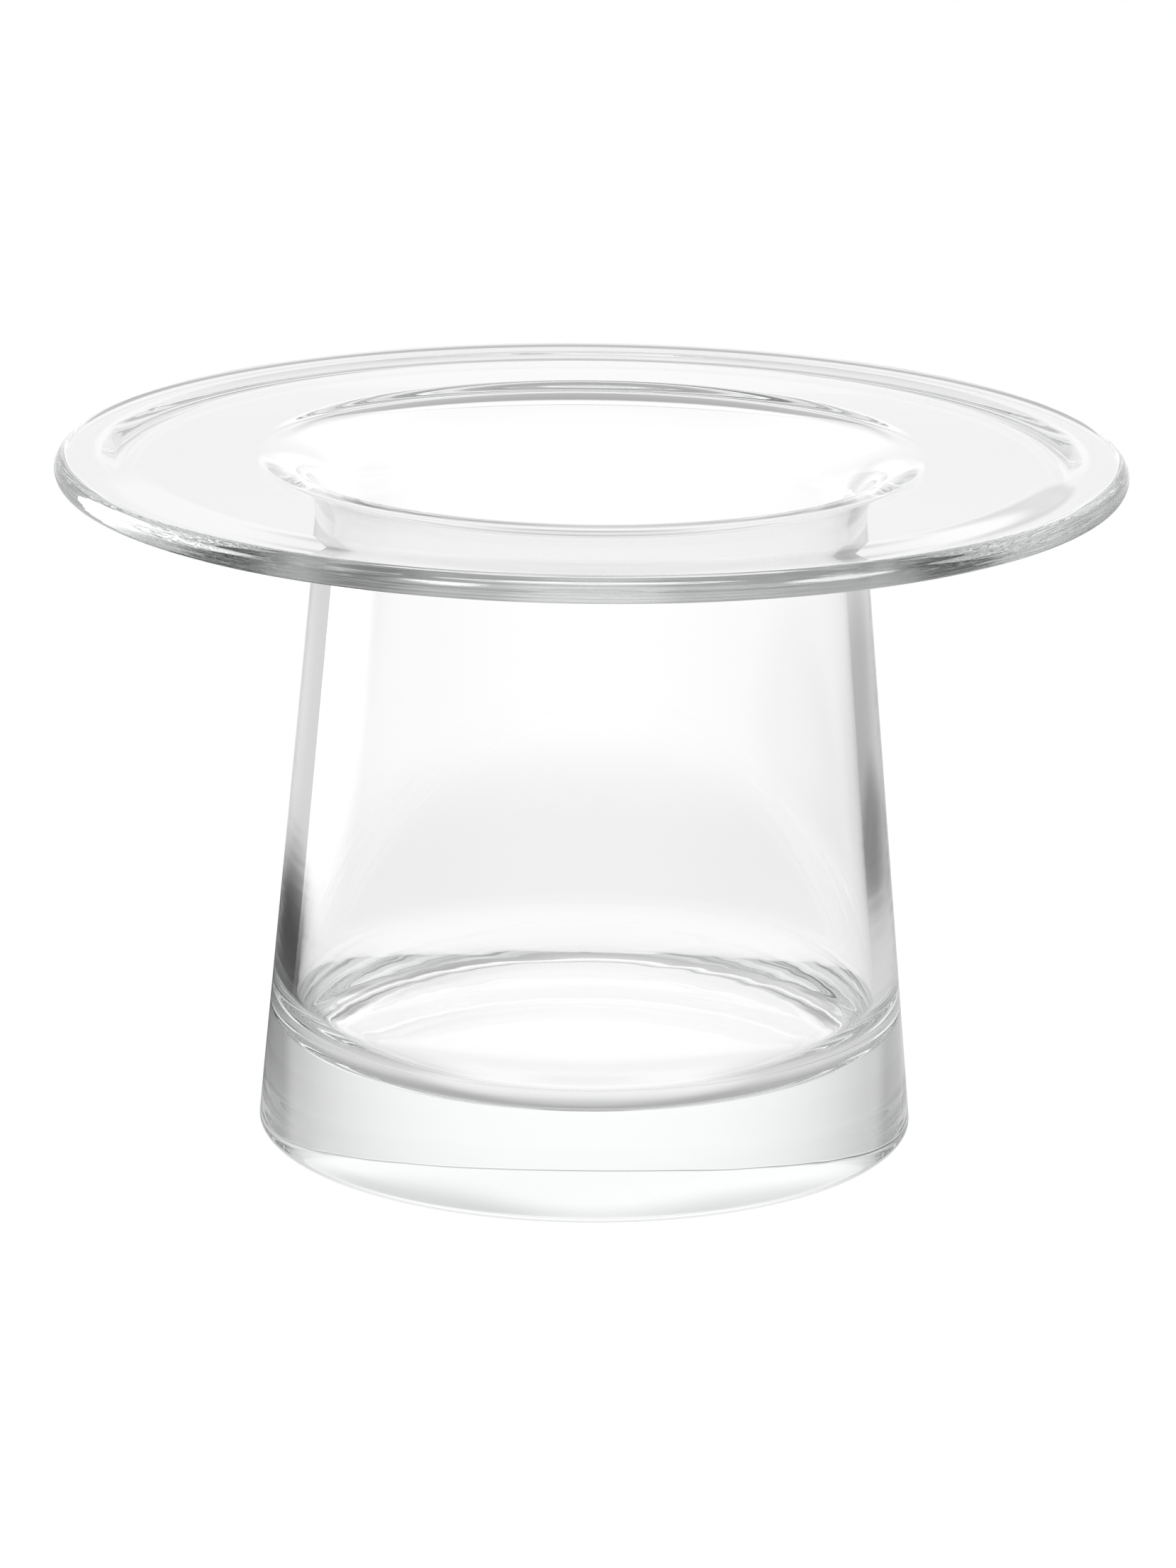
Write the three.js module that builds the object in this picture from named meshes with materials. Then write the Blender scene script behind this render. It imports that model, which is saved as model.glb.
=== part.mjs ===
// Lantern vase: thick clear blown glass with a solid heavy base, a tapered hollow wall and a wide flat brim.
// Sizes are in millimetres. The vase stands on its foot at z = 0, and its axis is +Z.
// The glass is one continuous piece. It is drawn here as its four zones, the base, the wall, the throat and
// the brim, which meet face to face with no gap.
import * as THREE from 'three';

// Whole vase
const TOTAL_HEIGHT = 160;
const BRIM_RADIUS = 122.3;

// Wall. The two radii lie on the straight outer line of the wall: where it reaches the table, and where it
// would reach the full height if the throat did not curve away from it.
const FOOT_RADIUS = 76.2;
const TOP_RADIUS = 61.2;
const WALL_AT_FOOT = 6.0;
const WALL_AT_TOP = 5.1;

// Base
const BASE_THICKNESS = 21;
const FLOOR_CORNER_RADIUS = 14;
const HEEL_RADIUS = 1.5;

// Brim. The rim is a bead, thicker than the plate and full round at its edge.
const PLATE_THICKNESS = 5.4;
const RIM_THICKNESS = 6.3;
const RIM_BEAD_WIDTH = 10.3;
const BEAD_STEP_WIDTH = 6.5;
const BEAD_STEP_RADIUS = 46;

// Throat, where the wall turns out into the brim
const THROAT_RADIUS = 18;
const UNDER_BRIM_RADIUS = 13.5;

// Fineness of the round surfaces, and the distance under which two points of an outline are one
const SIDES = 64;
const ARC_STEP = THREE.MathUtils.degToRad(12);
const SAME_POINT = 1e-6;

const GLASS_COLOUR = 0xf1f5f4;
const GLASS_ROUGHNESS = 0.03;
const GLASS_OPACITY = 0.35;

// A corner of the vase's half section: r from the axis, z above the table, and its rounding.
function corner(r, z, radius = 0) {
  return { point: new THREE.Vector2(r, z), radius };
}

// Points on the wall's two straight lines, at a height.
function outerWall(z) {
  return new THREE.Vector2(THREE.MathUtils.lerp(FOOT_RADIUS, TOP_RADIUS, z / TOTAL_HEIGHT), z);
}

function innerWall(z) {
  const thickness = THREE.MathUtils.lerp(WALL_AT_FOOT, WALL_AT_TOP, z / TOTAL_HEIGHT);
  return new THREE.Vector2(outerWall(z).x - thickness, z);
}

// How far the rounding of each corner reaches along its two sides. Where two roundings need more than the
// side between them has, both give way alike.
function reaches(corners) {
  const half = corners.map((c, i) => {
    if (c.radius === 0) return 0;
    const back = corners[i - 1].point.clone().sub(c.point);
    const ahead = corners[i + 1].point.clone().sub(c.point);
    return Math.acos(back.dot(ahead) / (back.length() * ahead.length())) / 2;
  });
  const wanted = corners.map((c, i) => (c.radius === 0 ? 0 : c.radius / Math.tan(half[i])));
  const share = corners.map(() => 1);
  for (let i = 0; i + 1 < corners.length; i++) {
    const side = corners[i].point.distanceTo(corners[i + 1].point);
    const need = wanted[i] + wanted[i + 1];
    const fit = need > side ? side / need : 1;
    share[i] = Math.min(share[i], fit);
    share[i + 1] = Math.min(share[i + 1], fit);
  }
  return corners.map((c, i) => ({ half: half[i], reach: wanted[i] * share[i] }));
}

// The points of each corner's arc, from the side it comes in by to the side it leaves by.
function arcs(corners) {
  const sizes = reaches(corners);
  return corners.map((c, i) => {
    const { half, reach } = sizes[i];
    if (reach === 0) return [c.point];
    const back = corners[i - 1].point.clone().sub(c.point).normalize();
    const ahead = corners[i + 1].point.clone().sub(c.point).normalize();
    const centre = back.clone().add(ahead).setLength(reach / Math.cos(half)).add(c.point);
    const turn = (Math.PI - 2 * half) * Math.sign(ahead.cross(back));
    const start = back.multiplyScalar(reach).add(c.point);
    const steps = Math.max(1, Math.ceil(Math.abs(turn) / ARC_STEP));
    const angles = Array.from({ length: steps + 1 }, (_, k) => (turn * k) / steps);
    return angles.map((angle) => start.clone().rotateAround(centre, angle));
  });
}

// A solid of revolution about +Z, from a half section that runs up the outside and down the inside.
function revolve(points) {
  const outline = points.filter((p, i) => i === 0 || p.distanceTo(points[i - 1]) > SAME_POINT);
  return new THREE.LatheGeometry(outline, SIDES).rotateX(Math.PI / 2);
}

function glassZone(name, points) {
  const material = new THREE.MeshStandardMaterial({
    color: GLASS_COLOUR,
    roughness: GLASS_ROUGHNESS,
    metalness: 0,
    transparent: true,
    opacity: GLASS_OPACITY,
  });
  const mesh = new THREE.Mesh(revolve(points), material);
  mesh.name = name;
  return mesh;
}

// The whole half section, from the middle of the foot, up the outside, round the rim and down the inside.
const plateUnderside = TOTAL_HEIGHT - PLATE_THICKNESS;
const rimUnderside = TOTAL_HEIGHT - RIM_THICKNESS;
const beadRadius = BRIM_RADIUS - RIM_BEAD_WIDTH;
const edgeRadius = RIM_THICKNESS / 2;
const footMiddle = new THREE.Vector2(0, 0);
const floorMiddle = new THREE.Vector2(0, BASE_THICKNESS);

const [, heel, underBrim, stepStart, stepEnd, rimLow, rimHigh, throatCurve, floorCorner] = arcs([
  corner(footMiddle.x, footMiddle.y),
  corner(FOOT_RADIUS, 0, HEEL_RADIUS),
  corner(outerWall(plateUnderside).x, plateUnderside, UNDER_BRIM_RADIUS),
  corner(beadRadius - BEAD_STEP_WIDTH, plateUnderside, BEAD_STEP_RADIUS),
  corner(beadRadius, rimUnderside, BEAD_STEP_RADIUS),
  corner(BRIM_RADIUS, rimUnderside, edgeRadius),
  corner(BRIM_RADIUS, TOTAL_HEIGHT, edgeRadius),
  corner(innerWall(TOTAL_HEIGHT).x, TOTAL_HEIGHT, THROAT_RADIUS),
  corner(innerWall(BASE_THICKNESS).x, BASE_THICKNESS, FLOOR_CORNER_RADIUS),
  corner(floorMiddle.x, floorMiddle.y),
]);

// The base ends where the floor's corner has turned up into the wall. The throat starts where the first of
// its two curves leaves the wall, and the brim starts where both curves have turned level.
const baseSeam = floorCorner.at(0).y;
const throatSeam = Math.min(underBrim.at(0).y, throatCurve.at(-1).y);
const brimSeam = Math.max(underBrim.at(-1).x, throatCurve.at(0).x);
const brimSeamLow = new THREE.Vector2(brimSeam, plateUnderside);
const brimSeamHigh = new THREE.Vector2(brimSeam, TOTAL_HEIGHT);

const base = glassZone('heavy_base', [
  footMiddle,
  ...heel,
  outerWall(baseSeam),
  ...floorCorner,
  floorMiddle,
]);

const wall = glassZone('tapered_wall', [
  outerWall(baseSeam),
  outerWall(throatSeam),
  innerWall(throatSeam),
  floorCorner.at(0),
  outerWall(baseSeam),
]);

const throat = glassZone('curved_throat', [
  outerWall(throatSeam),
  ...underBrim,
  brimSeamLow,
  brimSeamHigh,
  ...throatCurve,
  innerWall(throatSeam),
  outerWall(throatSeam),
]);

const brim = glassZone('flat_brim', [
  brimSeamLow,
  ...stepStart,
  ...stepEnd,
  ...rimLow,
  ...rimHigh,
  brimSeamHigh,
  brimSeamLow,
]);

const vase = new THREE.Group();
vase.add(base, wall, throat, brim);

export default vase;
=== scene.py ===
# %% [markdown]
# # A lantern vase in clear glass
# The vase is one piece of thick, colourless, blown glass: a solid heavy base, a hollow wall that narrows
# upwards, a curved throat and a wide flat brim that ends in a rounded bead. It holds flowers or, with a
# candle inside, keeps the wind off a flame.
# The frame that is loaded here holds its real sizes as plain solids, one for each zone of the glass. Blender
# adds what the eye sees: one unbroken skin over all four zones, the finish of that skin, and the light in
# which clear glass can be read.

# %% Load the frame
import math

import bmesh
import bpy
from mathutils import Matrix, Vector


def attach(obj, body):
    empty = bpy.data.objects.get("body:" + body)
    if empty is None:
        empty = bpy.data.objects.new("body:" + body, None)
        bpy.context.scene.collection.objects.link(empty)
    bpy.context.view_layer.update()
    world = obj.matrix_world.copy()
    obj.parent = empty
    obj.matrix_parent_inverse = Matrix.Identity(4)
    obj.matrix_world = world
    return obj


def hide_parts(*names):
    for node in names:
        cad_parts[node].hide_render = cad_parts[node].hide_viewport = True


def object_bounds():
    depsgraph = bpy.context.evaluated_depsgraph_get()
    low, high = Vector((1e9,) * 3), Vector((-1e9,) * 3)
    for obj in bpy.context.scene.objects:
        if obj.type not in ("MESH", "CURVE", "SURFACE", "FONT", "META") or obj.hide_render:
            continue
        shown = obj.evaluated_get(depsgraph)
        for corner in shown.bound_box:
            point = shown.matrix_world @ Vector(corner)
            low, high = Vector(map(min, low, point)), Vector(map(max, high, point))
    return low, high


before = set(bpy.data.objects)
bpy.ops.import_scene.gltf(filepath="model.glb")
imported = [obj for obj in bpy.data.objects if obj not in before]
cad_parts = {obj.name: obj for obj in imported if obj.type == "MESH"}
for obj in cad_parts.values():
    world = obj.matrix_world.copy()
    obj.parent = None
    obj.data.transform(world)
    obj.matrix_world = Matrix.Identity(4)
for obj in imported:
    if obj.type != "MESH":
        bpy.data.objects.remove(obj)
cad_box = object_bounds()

MM = 0.001
scene = bpy.context.scene
print("frame nodes:", sorted(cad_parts))
print("frame size in mm:", [round(v / MM, 1) for v in cad_box[1] - cad_box[0]])

# %% [markdown]
# ## Camera
# The vase is seen from a little above with a long lens, far away, so its circles show as flat ellipses of
# nearly the same shape. A camera can be aimed with a Track To constraint. Here its three axes are worked out
# instead, because that also gives the small lean of the picture in the same step.

# %% Place the camera
LOOK_DOWN = math.radians(15.7)
LEAN = math.radians(0.664)
AIM_HEIGHT = 80.8 * MM
DISTANCE = 1472 * MM
FOCAL_LENGTH_MM = 146.07


def aimed_camera():
    camera = bpy.data.objects.new("camera", bpy.data.cameras.new("camera"))
    camera.data.lens = FOCAL_LENGTH_MM
    ahead = Vector((0, math.cos(LOOK_DOWN), -math.sin(LOOK_DOWN)))
    right = Vector((1, 0, 0))
    up = right.cross(ahead)
    leaning_right = right * math.cos(LEAN) + up * math.sin(LEAN)
    leaning_up = up * math.cos(LEAN) - right * math.sin(LEAN)
    axes = Matrix((leaning_right, leaning_up, -ahead)).transposed()
    camera.matrix_world = axes.to_4x4()
    camera.location = Vector((0, 0, AIM_HEIGHT)) - ahead * DISTANCE
    scene.collection.objects.link(camera)
    return camera


scene.camera = aimed_camera()
print("camera at", [round(v, 3) for v in scene.camera.location])

# %% [markdown]
# ## Half section
# A blown vessel is turned all the time while it is soft, so it is round, and one half section describes it
# all. Each corner of the section has a rounding: the throat's two curves and the floor's corner come from
# the turning, the heel from the table that the hot foot was set on, and the full round of the rim from the
# fire. A Bezier curve could draw the section, but straight lines with true arcs keep the real sizes.

# %% Sizes of the half section, in millimetres
HEIGHT = cad_box[1].z / MM
BRIM_RADIUS = cad_box[1].x / MM

# The wall's outer line, where it reaches the table and where it would reach the full height
FOOT_RADIUS = 76.2
TOP_RADIUS = 61.2
WALL_AT_FOOT = 6.0
WALL_AT_TOP = 5.1

BASE_THICKNESS = 21
FLOOR_CORNER_RADIUS = 14
HEEL_RADIUS = 1.5

PLATE_THICKNESS = 5.4
RIM_THICKNESS = 6.3
RIM_BEAD_WIDTH = 10.3
BEAD_STEP_WIDTH = 6.5
BEAD_STEP_RADIUS = 46

THROAT_RADIUS = 18
UNDER_BRIM_RADIUS = 13.5


def outer_wall(z):
    return FOOT_RADIUS + (TOP_RADIUS - FOOT_RADIUS) * z / HEIGHT


def inner_wall(z):
    return outer_wall(z) - WALL_AT_FOOT - (WALL_AT_TOP - WALL_AT_FOOT) * z / HEIGHT


plate_underside = HEIGHT - PLATE_THICKNESS
rim_underside = HEIGHT - RIM_THICKNESS
bead_radius = BRIM_RADIUS - RIM_BEAD_WIDTH
rim_radius = RIM_THICKNESS / 2

# Radius from the axis, height above the table, and rounding
corners = [
    (0, 0, 0),
    (FOOT_RADIUS, 0, HEEL_RADIUS),
    (outer_wall(plate_underside), plate_underside, UNDER_BRIM_RADIUS),
    (bead_radius - BEAD_STEP_WIDTH, plate_underside, BEAD_STEP_RADIUS),
    (bead_radius, rim_underside, BEAD_STEP_RADIUS),
    (BRIM_RADIUS, rim_underside, rim_radius),
    (BRIM_RADIUS, HEIGHT, rim_radius),
    (inner_wall(HEIGHT), HEIGHT, THROAT_RADIUS),
    (inner_wall(BASE_THICKNESS), BASE_THICKNESS, FLOOR_CORNER_RADIUS),
    (0, BASE_THICKNESS, 0),
]
print("corners of the half section:", len(corners))

# %% [markdown]
# ## Arcs and straights
# Light bends twice in every wall of glass, so small faults in a surface show far more than on an opaque
# thing. The arcs are cut finely, and a straight gets a point close to each of its ends, so that the smooth
# shading of a curve stops where the curve does.

# %% Draw the half section
ARC_STEP = math.radians(3)
STRAIGHT_STEP_MM = 5
END_STEP_MM = 0.6


def arc(before, corner, after, radius):
    """Points of the rounding of one corner, from the side it comes in by to the side it leaves by."""
    back = (before - corner).normalized()
    ahead = (after - corner).normalized()
    half = back.angle(ahead) / 2
    centre = corner + (back + ahead).normalized() * (radius / math.sin(half))
    start = corner + back * (radius / math.tan(half)) - centre
    turn = math.copysign(math.pi - 2 * half, -back.cross(ahead))
    steps = math.ceil(abs(turn) / ARC_STEP)
    return [centre + Matrix.Rotation(turn * k / steps, 2) @ start for k in range(steps + 1)]


def straight(start, end):
    """Points inside a straight: one close to each end, and even steps between those."""
    length = (end - start).length
    if length < 3 * END_STEP_MM:
        return []
    first = start.lerp(end, END_STEP_MM / length)
    last = end.lerp(start, END_STEP_MM / length)
    steps = math.ceil((length - 2 * END_STEP_MM) / STRAIGHT_STEP_MM)
    return [first.lerp(last, k / steps) for k in range(steps + 1)]


points = [Vector((r, z)) for r, z, rounding in corners]
section = [points[0]]
for i in range(1, len(points)):
    rounding = corners[i][2]
    turned = arc(points[i - 1], points[i], points[i + 1], rounding) if rounding else [points[i]]
    section += straight(section[-1], turned[0]) + turned
print("points of the half section:", len(section))

# %% [markdown]
# ## Spinning the section
# Spinning the section round the axis is what the glassmaker's bench does too. The Screw modifier would do
# it and stay adjustable. A bmesh spin is used here, because it can weld the points on the axis and turn all
# faces outward in the same step, and glass needs a skin with no hole and one outside.

# %% Spin the glass
SIDES = 288
SAME_POINT = 1e-7


def spun(outline):
    bm = bmesh.new()
    verts = [bm.verts.new((p.x * MM, 0, p.y * MM)) for p in outline]
    edges = [bm.edges.new(pair) for pair in zip(verts, verts[1:])]
    bmesh.ops.spin(
        bm, geom=verts + edges, cent=(0, 0, 0), axis=(0, 0, 1), angle=math.tau, steps=SIDES, use_merge=True
    )
    bmesh.ops.remove_doubles(bm, verts=bm.verts, dist=SAME_POINT)
    bmesh.ops.recalc_face_normals(bm, faces=bm.faces)
    for face in bm.faces:
        face.smooth = True
    mesh = bpy.data.meshes.new("vase_glass")
    bm.to_mesh(mesh)
    bm.free()
    return mesh


vase = bpy.data.objects.new("vase_glass", spun(section))
scene.collection.objects.link(vase)
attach(vase, "root")
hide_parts("heavy_base", "tapered_wall", "curved_throat", "flat_brim")
print("faces of the glass:", len(vase.data.polygons))

# %% [markdown]
# ## Two helpers for materials
# Every material below is a handful of nodes. One function adds a node, sets it and links it. Another turns a
# hex colour, as a paint program shows it, into the linear numbers that Blender works with.

# %% Node and colour helpers


def add_node(tree, kind, inputs=(), **settings):
    """Adds a node. Inputs are pairs of a socket and a value, a colour or another node's output."""
    node = tree.nodes.new(kind)
    for name, value in settings.items():
        setattr(node, name, value)
    for socket, value in inputs:
        if isinstance(value, bpy.types.NodeSocket):
            tree.links.new(value, node.inputs[socket])
        else:
            node.inputs[socket].default_value = value
    return node


def srgb(text):
    """A hex colour as Blender's linear red, green, blue and alpha."""
    parts = [int(text[i:i + 2], 16) / 255 for i in (1, 3, 5)]
    linear = [c / 12.92 if c <= 0.04045 else ((c + 0.055) / 1.055) ** 2.4 for c in parts]
    return (*linear, 1)


print("linear value of middle grey:", round(srgb("#808080")[0], 3))

# %% [markdown]
# ## Soda-lime glass, blown and fire polished
# The skin of the glass was never ground. It set from a liquid, so it is as smooth as water, and its
# roughness is zero. A little iron in the sand takes some light away in depth. Through a wall of 6 mm that
# can't be seen, but along the plate of the brim or across the solid base it is a clear grey.
# A tint on the surface would grey the thin wall as much as the thick base. Volume absorption is used,
# because it counts the millimetres.

# %% Depth of the glass
SODA_LIME_IOR = 1.5
TINT = srgb("#BCC1BF")
DENSITY = 2.4


def light_left(path_mm):
    """Share of the light that is left after a path in the glass."""
    return math.exp(-DENSITY * (1 - TINT[1]) * path_mm * MM)


for path_mm in (WALL_AT_FOOT, BASE_THICKNESS, 2 * FOOT_RADIUS):
    print(f"light left after {path_mm:5.1f} mm of glass: {light_left(path_mm):.2f}")

# %% [markdown]
# ## Traces of the making
# Two traces are left in the skin. The rim was drawn out and turned against a tool, which left fine lines
# along its edge. The lower wall was blown up from the heavy base, and where thick glass passes into thin
# its skin is faintly wavy. Modelling them would take a very fine mesh, so both are stretched noise that is
# fed to a bump. Real lines and waves like these are a few thousandths of a millimetre deep. They are drawn
# some ten times deeper, so that they show in the render.

# %% Lines and waves
# Title, length along the glass, width across it and depth in millimetres, then where it fades in: a measure
# and the two values in millimetres between which it grows to its full depth
TRACES = [
    ("lines of the rim", 70, 0.7, 0.08, "radius", 112, 118),
    ("waves of the lower wall", 120, 7, 0.03, "height", 85, 60),
]


def clear_glass():
    material = bpy.data.materials.new("soda_lime_glass_blown_fire_polished")
    material.use_nodes = True
    tree = material.node_tree
    skin = tree.nodes["Principled BSDF"]
    skin.inputs["Base Color"].default_value = srgb("#FFFFFF")
    skin.inputs["Transmission Weight"].default_value = 1
    skin.inputs["Roughness"].default_value = 0
    skin.inputs["IOR"].default_value = SODA_LIME_IOR

    place = add_node(tree, "ShaderNodeNewGeometry").outputs["Position"]
    level = add_node(tree, "ShaderNodeVectorMath", [(0, place), (1, (1, 1, 0))], operation="MULTIPLY")
    out = add_node(tree, "ShaderNodeVectorMath", [(0, level.outputs[0])], operation="LENGTH")
    measures = {
        "radius": out.outputs["Value"],
        "height": add_node(tree, "ShaderNodeSeparateXYZ", [(0, place)]).outputs["Z"],
    }
    relief = 0
    for title, along, across, depth, measure, start, end in TRACES:
        grain = (1 / (along * MM), 1 / (along * MM), 1 / (across * MM))
        drawn = add_node(tree, "ShaderNodeVectorMath", [(0, place), (1, grain)], operation="MULTIPLY")
        noise = add_node(tree, "ShaderNodeTexNoise", [("Vector", drawn.outputs[0])], label=title)
        noise.inputs["Scale"].default_value = 1
        fade = [(0, measures[measure]), (1, start * MM), (2, end * MM), (3, 0), (4, depth * MM)]
        amount = add_node(tree, "ShaderNodeMapRange", fade).outputs[0]
        sum_up = [(0, noise.outputs[0]), (1, amount), (2, relief)]
        relief = add_node(tree, "ShaderNodeMath", sum_up, operation="MULTIPLY_ADD").outputs[0]
    bump = add_node(tree, "ShaderNodeBump", [("Height", relief), ("Distance", 1), ("Strength", 1)])
    tree.links.new(bump.outputs[0], skin.inputs["Normal"])

    body = add_node(tree, "ShaderNodeVolumeAbsorption", [("Color", TINT), ("Density", DENSITY)])
    tree.links.new(body.outputs[0], tree.nodes["Material Output"].inputs["Volume"])
    print("nodes of the glass:", len(tree.nodes))
    return material


vase.data.materials.append(clear_glass())

# %% [markdown]
# ## Light for clear glass
# Clear glass has no tone of its own. It shows the room, bent by the thick wall and mirrored inside it. So it
# is set on a white table under a white light tent, and cards in the tent draw its edges: a dark flag makes a
# dark line where the glass mirrors it, and a lit card makes a bright one.
# The cards could be planes in the scene. Here they are soft spots of tone in the material of the table and
# the tent, which needs no lamp and gives no noise.

# %% Levels of the studio
# Tone of the studio for light that comes straight through the glass, and for light that it mirrors
STRAIGHT_LEVEL = 1.04
MIRRORED_LEVEL = 0.68
DARKEST = 0.02
print("straight level over mirrored level:", round(STRAIGHT_LEVEL / MIRRORED_LEVEL, 2))

# %% [markdown]
# ## Kinds of light
# Light Path says how the glass has passed each ray on. Glossy Depth counts how often it was mirrored, and
# Transmission Depth how many surfaces it went through. A ray that was never mirrored is straight. If it also
# passed two surfaces at most, it went through one thin edge. A mirrored ray that passed no surface never got
# into the glass, so the outside mirrored it. With these kinds a card can be for mirrored light alone, and
# the white behind the vase stays white.

# %% Sort the rays
# The depths are whole numbers, so a limit lies halfway between two of them.
NONE_OR_ONE = 0.5
TWO_OR_THREE = 2.5


def kinds_of_light(tree, path):
    """For each kind of light, an output that is 1 for a ray of that kind and 0 for any other."""
    turns = [(0, path.outputs["Glossy Depth"]), (1, NONE_OR_ONE)]
    mirrored = add_node(tree, "ShaderNodeMath", turns, operation="GREATER_THAN").outputs[0]
    through = add_node(tree, "ShaderNodeMath", turns, operation="LESS_THAN").outputs[0]

    passes = path.outputs["Transmission Depth"]
    few = add_node(tree, "ShaderNodeMath", [(0, passes), (1, TWO_OR_THREE)], operation="LESS_THAN")
    none = add_node(tree, "ShaderNodeMath", [(0, passes), (1, NONE_OR_ONE)], operation="LESS_THAN")
    thin = add_node(tree, "ShaderNodeMath", [(0, through), (1, few.outputs[0])], operation="MULTIPLY")
    outer = add_node(tree, "ShaderNodeMath", [(0, mirrored), (1, none.outputs[0])], operation="MULTIPLY")
    return {
        "straight": through,
        "thin edge": thin.outputs[0],
        "mirrored": mirrored,
        "outside": outer.outputs[0],
    }


print("surfaces that light passes in a thin edge, at most:", math.floor(TWO_OR_THREE))

# %% [markdown]
# ## Cards
# Each card is an ellipsoid in the studio. Where the table or the tent lies inside it, the tone changes: in
# full near its middle, and less and less towards its skin. A lamp would light everything in reach, but a
# card can be told which kind of light it is for. Many cards are painted light and painted shade in the glow
# of the table and the tent: the vase's painted shadow on the table, pools of painted light, and the painted
# reflections of soft boxes.

# %% Cards
# Title, middle and half size in millimetres, share of it that is even, change of the tone, and kind of light
CARDS = [
    # Painted shade on the table for light through the glass: the vase's painted shadow behind it and under
    # its heel, and darker patches at the right and behind the back edge
    ("dip on the table", (0, 205, 0), (150, 150, 150), 0.27, -0.12, "straight"),
    ("shade at the right", (215, 430, 0), (130, 130, 130), 0.46, -0.4, "thin edge"),
    ("shade under the heel, left", (-62, -36, 0), (40, 40, 40), 0.5, -0.22, "straight"),
    ("shade under the heel, right", (64, -34, 0), (40, 40, 40), 0.5, -0.22, "straight"),
    ("shade for the back edge", (0, 320, 0), (125, 125, 125), 0.48, -0.6, "thin edge"),
    ("flag at the left", (-135, 115, 0), (150, 150, 150), 0.43, -0.6, "mirrored"),
    ("flag at the right", (300, 330, 0), (280, 280, 280), 0.43, -0.22, "mirrored"),
    ("small flag at the right", (206, 236, 0), (110, 110, 110), 0.4, -0.25, "mirrored"),
    ("side card at the left", (-660, 320, 240), (200, 200, 200), 0.4, -0.25, "mirrored"),
    ("side card at the right", (660, 320, 240), (200, 200, 200), 0.4, -0.25, "mirrored"),
    # Painted light on the table: two patches and a bright streak behind the foot, and a patch far behind it
    ("light behind the foot", (0, 104, 0), (45, 31, 30), 0.36, 0.3, "mirrored"),
    ("streak behind the foot", (0.5, 99, 0), (8, 26, 11), 0.3, 0.25, "mirrored"),
    ("light far behind", (0, 430, 0), (280, 280, 280), 0.39, 0.2, "mirrored"),
    ("flag for the throat", (0, 570, 560), (80, 230, 230), 0.5, -0.5, "mirrored"),
    ("foot of that flag", (0, 675, 430), (65, 65, 65), 0.38, -0.2, "mirrored"),
    ("card behind at the right", (398, 510, 470), (240, 240, 240), 0.62, 0.6, "mirrored"),
    # Painted light under the front heel, the vase's painted shadow under its foot, and painted light from
    # the front
    ("light under the front heel", (0, -68, 0), (90, 25, 20), 0.4, 0.2, "mirrored"),
    ("shadow under the foot", (0, 4, 0), (76, 76, 76), 0.76, -0.3, "mirrored"),
    ("light from the front", (0, -780, 150), (900, 900, 900), 0.33, 0.25, "mirrored"),
    # Painted reflections: glows of soft boxes painted into the table and the tent, which only the outside of
    # the glass mirrors
    ("front end of the soft box", (-770, -120, 350), (250, 260, 190), 0.6, 6, "outside"),
    ("soft box in front, right", (590, -500, 340), (190, 190, 210), 0.6, 12, "outside"),
    ("soft box in front, left", (-364, -690, 350), (150, 150, 210), 0.6, 12, "outside"),
]


def add_cards(tree, spot, kinds, tone):
    """The tone with the change of every card added to it."""
    for title, middle, half, even, change, light in CARDS:
        centre = [v * MM for v in middle]
        size = [v * MM for v in half]
        off = add_node(tree, "ShaderNodeVectorMath", [(0, spot), (1, centre)], operation="SUBTRACT")
        share = add_node(tree, "ShaderNodeVectorMath", [(0, off.outputs[0]), (1, size)], operation="DIVIDE")
        away = add_node(tree, "ShaderNodeVectorMath", [(0, share.outputs[0])], operation="LENGTH")
        fade = [(0, away.outputs["Value"]), (1, even), (2, 1), (3, change), (4, 0)]
        card = add_node(tree, "ShaderNodeMapRange", fade, interpolation_type="SMOOTHSTEP", label=title)
        sum_up = [(0, card.outputs[0]), (1, kinds[light]), (2, tone)]
        tone = add_node(tree, "ShaderNodeMath", sum_up, operation="MULTIPLY_ADD").outputs[0]
    return tone


for light in sorted({card[-1] for card in CARDS}):
    print("cards for the kind", light + ":", sum(card[-1] == light for card in CARDS))

# %% [markdown]
# ## Soft box
# A large soft box at the left is a glow painted into the table and the tent, and the outside of the glass
# alone mirrors it. It is a painted reflection: it draws the white highlight on the face of the rim and the
# bright strip down the wall. Its edges are straight, which an ellipsoid can't give. So each edge has a
# direction, and the box fades in between two distances along it.

# %% Soft box
PAINTED_BOX_GLOW = 6
# Title, direction, and the two distances in millimetres between which the box fades in
BOX_EDGES = [
    ("back edge", (0.676, 0.711, 0), -58, -66),
    ("front edge", (0, 1, 0), 20, 240),
    ("edge near the vase", (-1, 0, 0), -50, 650),
    ("top edge", (0, 0, 1), 560, 480),
]


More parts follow.
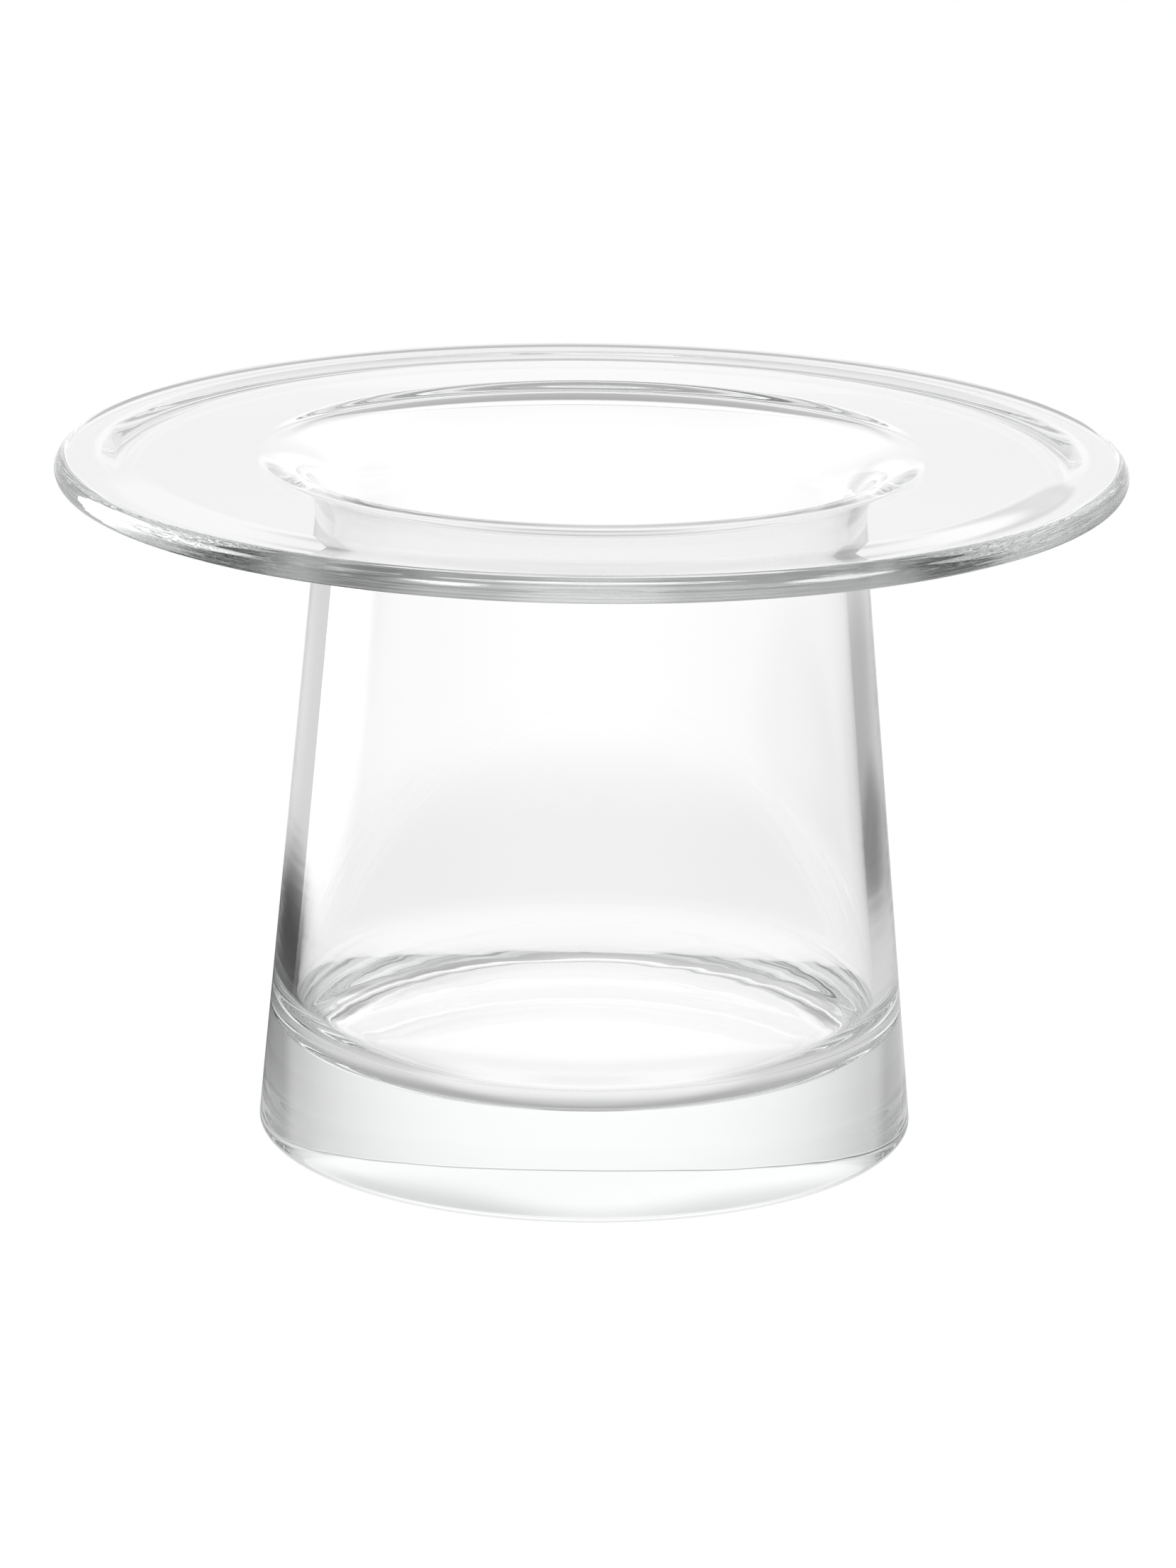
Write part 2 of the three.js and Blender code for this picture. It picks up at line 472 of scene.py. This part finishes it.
def add_painted_soft_box(tree, spot, kinds, tone):
    """The tone with the painted glow of the soft box added to it, seen only where the outside of the glass
    mirrors it.
    """
    box = kinds["outside"]
    for title, direction, start, end in BOX_EDGES:
        along = add_node(tree, "ShaderNodeVectorMath", [(0, spot), (1, direction)], operation="DOT_PRODUCT")
        fade = [(0, along.outputs["Value"]), (1, start * MM), (2, end * MM)]
        edge = add_node(tree, "ShaderNodeMapRange", fade, interpolation_type="SMOOTHSTEP", label=title)
        both = [(0, box), (1, edge.outputs[0])]
        box = add_node(tree, "ShaderNodeMath", both, operation="MULTIPLY").outputs[0]
    sum_up = [(0, box), (1, PAINTED_BOX_GLOW), (2, tone)]
    return add_node(tree, "ShaderNodeMath", sum_up, operation="MULTIPLY_ADD").outputs[0]


print("edges of the soft box:", ", ".join(edge[0] for edge in BOX_EDGES))

# %% [markdown]
# ## Cloth of the tent
# The cloth isn't lit evenly. Behind the vase it is lit from the table up to a soft upper edge, higher up it
# is brighter all round, and the roof is dim. A Color Ramp could hold these tones. Steps in a list are used,
# because each then has its real heights and its own reach.

# %% Steps of the tent
# Depth in millimetres over which the side of the tent passes into its back
BACK_FROM = 480
BACK_FULL = 865

# Title, heights in millimetres between which the tone changes, the change, and where
TENT_STEPS = [
    ("lit cloth behind", -2, -1, 0.64, "behind"),
    ("top of the lit cloth", 255, 320, -0.5, "behind"),
    ("upper tent", 360, 420, 0.25, "all round"),
    ("roof", 620, 760, -0.4, "all round"),
]


def add_steps(tree, spot, kinds, tone, steps):
    """The tone with the change of every step added to it, for mirrored light."""
    apart = add_node(tree, "ShaderNodeSeparateXYZ", [(0, spot)])
    depth = [(0, apart.outputs["Y"]), (1, BACK_FROM * MM), (2, BACK_FULL * MM)]
    back = add_node(tree, "ShaderNodeMapRange", depth, interpolation_type="SMOOTHSTEP")
    both = [(0, kinds["mirrored"]), (1, back.outputs[0])]
    behind = add_node(tree, "ShaderNodeMath", both, operation="MULTIPLY")
    places = {"behind": behind.outputs[0], "all round": kinds["mirrored"]}
    for title, low, high, change, place in steps:
        rise = [(0, apart.outputs["Z"]), (1, low * MM), (2, high * MM), (3, 0), (4, change)]
        step = add_node(tree, "ShaderNodeMapRange", rise, interpolation_type="SMOOTHSTEP", label=title)
        sum_up = [(0, step.outputs[0]), (1, places[place]), (2, tone)]
        tone = add_node(tree, "ShaderNodeMath", sum_up, operation="MULTIPLY_ADD").outputs[0]
    return tone


print("steps of the tent:", ", ".join(step[0] for step in TENT_STEPS))

# %% [markdown]
# ## Studio white
# One material makes the table and the tent. It glows, so it is light and background at once. The camera
# itself sees plain white, of strength 1. The glass sees the level for the kind of light, with the painted
# light and shade of the cards, the painted soft box and the steps added to it.

# %% Studio white


def studio_white(name, steps):
    material = bpy.data.materials.new(name)
    material.use_nodes = True
    material.cycles.emission_sampling = "NONE"
    tree = material.node_tree
    tree.nodes.clear()
    spot = add_node(tree, "ShaderNodeNewGeometry").outputs["Position"]
    path = add_node(tree, "ShaderNodeLightPath")
    kinds = kinds_of_light(tree, path)

    levels = [(0, kinds["mirrored"]), (3, STRAIGHT_LEVEL), (4, MIRRORED_LEVEL)]
    tone = add_node(tree, "ShaderNodeMapRange", levels).outputs[0]
    tone = add_cards(tree, spot, kinds, tone)
    tone = add_painted_soft_box(tree, spot, kinds, tone)
    tone = add_steps(tree, spot, kinds, tone, steps)
    tone = add_node(tree, "ShaderNodeMath", [(0, tone), (1, DARKEST)], operation="MAXIMUM").outputs[0]

    plain = [(0, path.outputs["Is Camera Ray"]), (3, tone), (4, 1)]
    seen = add_node(tree, "ShaderNodeMapRange", plain).outputs[0]
    glow = add_node(tree, "ShaderNodeEmission", [("Color", seen)])
    add_node(tree, "ShaderNodeOutputMaterial", [("Surface", glow.outputs[0])])
    print("nodes of the", name + ":", len(tree.nodes))
    return material


# %% [markdown]
# ## Table and tent
# The table is a plain sheet, a hair below the foot, so that the two skins don't lie in one plane. The tent
# is half a sphere over it. The camera stands outside the tent and looks through its cloth, so the cloth is
# hidden from the camera and from nothing else.

# %% Table and tent
TABLE_GAP = 0.3 * MM
TABLE_HALF = 3.0
TENT_RADIUS = 0.8
TENT_SEGMENTS = 96
TENT_RINGS = 48
LOWEST_OF_TENT = -0.01


def staged(bm, name, steps):
    """A mesh of the studio, with its own studio material and not attached to the vase."""
    mesh = bpy.data.meshes.new(name)
    bm.to_mesh(mesh)
    bm.free()
    mesh.materials.append(studio_white(name, steps))
    thing = bpy.data.objects.new(name, mesh)
    scene.collection.objects.link(thing)
    return thing


sheet = bmesh.new()
bmesh.ops.create_grid(sheet, x_segments=1, y_segments=1, size=TABLE_HALF)
bmesh.ops.translate(sheet, verts=sheet.verts, vec=(0, 0, -TABLE_GAP))
staged(sheet, "white_table", [])

dome = bmesh.new()
bmesh.ops.create_uvsphere(dome, u_segments=TENT_SEGMENTS, v_segments=TENT_RINGS, radius=TENT_RADIUS)
under = [v for v in dome.verts if v.co.z < LOWEST_OF_TENT]
bmesh.ops.delete(dome, geom=under, context="VERTS")
tent = staged(dome, "light_tent", TENT_STEPS)
tent.visible_camera = False
print("tent is", TENT_RADIUS, "m in radius over a table of", 2 * TABLE_HALF, "m")

# %% [markdown]
# ## World and bounces
# The world is white too, where the table ends. Light can turn back many times inside thick glass before it
# leaves, and each turn counts as a bounce. With Blender's usual limit the base would go black inside.

# %% World and bounces
BOUNCES = 128


def white_world():
    world = bpy.data.worlds.new("white_studio")
    world.use_nodes = True
    world.node_tree.nodes["Background"].inputs["Color"].default_value = srgb("#FFFFFF")
    return world


scene.world = white_world()
scene.cycles.max_bounces = BOUNCES
scene.cycles.transmission_bounces = BOUNCES
scene.cycles.glossy_bounces = BOUNCES
scene.cycles.use_denoising = True
scene.view_settings.view_transform = "Standard"
print("bounces:", scene.cycles.max_bounces)
